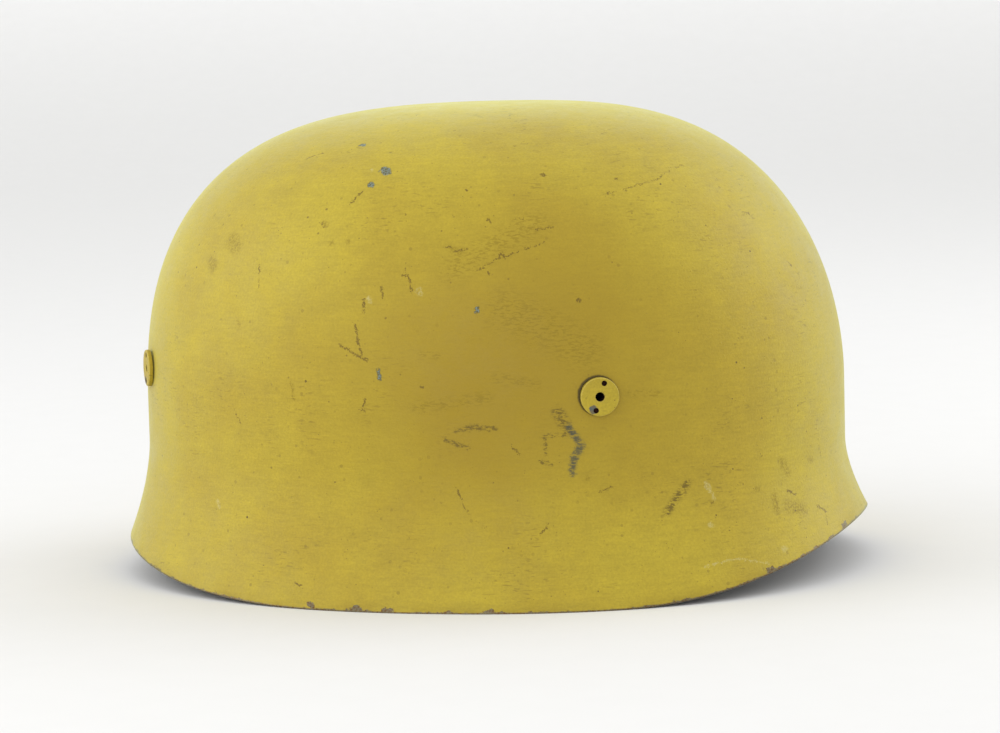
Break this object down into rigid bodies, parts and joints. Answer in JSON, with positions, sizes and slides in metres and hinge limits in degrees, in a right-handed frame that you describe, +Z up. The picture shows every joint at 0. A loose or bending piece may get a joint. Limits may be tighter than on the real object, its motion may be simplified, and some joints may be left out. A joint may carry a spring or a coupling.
{
  "type": "paratrooper helmet",
  "caption": "Steel paratrooper helmet with a short flared rim, vented clamping bolts, a domed leather liner on a light band and a tucked leather chin harness with a roller buckle.",
  "frame": {"origin": "middle of the bounding box at the height of the resting surface, on which the side rims stand", "axes": "-Y to the front, +X to the wearer's left, +Z up to the crown"},
  "size_m": [0.2252, 0.2592, 0.1605],
  "materials": {
    "shell_paint": "matt ochre paint over primer, worn at the rim",
    "bolt_paint": "matt ochre paint, chipped at the spanner holes",
    "nut_steel": "dull plated steel",
    "washer_steel": "dull plated steel",
    "spacer_rubber": "matt black rubber",
    "band_metal": "dull light alloy",
    "liner_foam": "open foam rubber",
    "liner_leather": "soft tan leather",
    "rivet_steel": "dull plated steel",
    "pad_rubber": "matt sponge rubber",
    "strap_leather": "brown harness leather",
    "stud_metal": "grey lacquer",
    "buckle_metal": "grey lacquer, worn"
  },
  "bodies": {
    "helmet": {"shell": "shell_paint", "vent_bolt_front_left": "bolt_paint", "vent_bolt_front_right": "bolt_paint", "vent_bolt_rear_left": "bolt_paint", "vent_bolt_rear_right": "bolt_paint", "clamp_nut_front_left": "nut_steel", "clamp_nut_front_right": "nut_steel", "clamp_nut_rear_left": "nut_steel", "clamp_nut_rear_right": "nut_steel", "washer_front_left": "washer_steel", "washer_front_right": "washer_steel", "washer_rear_left": "washer_steel", "washer_rear_right": "washer_steel", "spacer_front_left": "spacer_rubber", "spacer_front_right": "spacer_rubber", "spacer_rear_left": "spacer_rubber", "spacer_rear_right": "spacer_rubber", "liner_band": "band_metal", "foam_ring": "liner_foam", "leather_cap": "liner_leather", "liner_rivets": "rivet_steel", "pad_front": "pad_rubber", "pad_left": "pad_rubber", "pad_right": "pad_rubber", "pad_rear": "pad_rubber", "harness_leg_front_left": "strap_leather", "harness_leg_front_right": "strap_leather", "harness_leg_rear_left": "strap_leather", "harness_leg_rear_right": "strap_leather", "nape_strap_left": "strap_leather", "nape_strap_right": "strap_leather", "chin_strap_left": "strap_leather", "chin_strap_right": "strap_leather", "strap_keeper": "strap_leather", "press_studs": "stud_metal"},
    "buckle_frame": {"buckle_frame": "buckle_metal"},
    "buckle_prong": {"buckle_prong": "buckle_metal"},
    "buckle_roller": {"buckle_roller": "buckle_metal"}
  },
  "joints": [
    {"name": "buckle_frame_tilt", "type": "hinge", "parent": "helmet", "child": "buckle_frame", "pos_m": [-0.07959, -0.06794, 0.03], "axis": [0, 0, 1], "range_deg": [0, 50]},
    {"name": "buckle_prong_swing", "type": "hinge", "parent": "buckle_frame", "child": "buckle_prong", "pos_m": [-0.07959, -0.06794, 0.03], "axis": [0, 0, 1], "range_deg": [0, 85]},
    {"name": "buckle_roller_spin", "type": "hinge", "parent": "buckle_frame", "child": "buckle_roller", "pos_m": [-0.07167, -0.08185, 0.03], "axis": [0, 0, 1], "continuous": true}
  ]
}
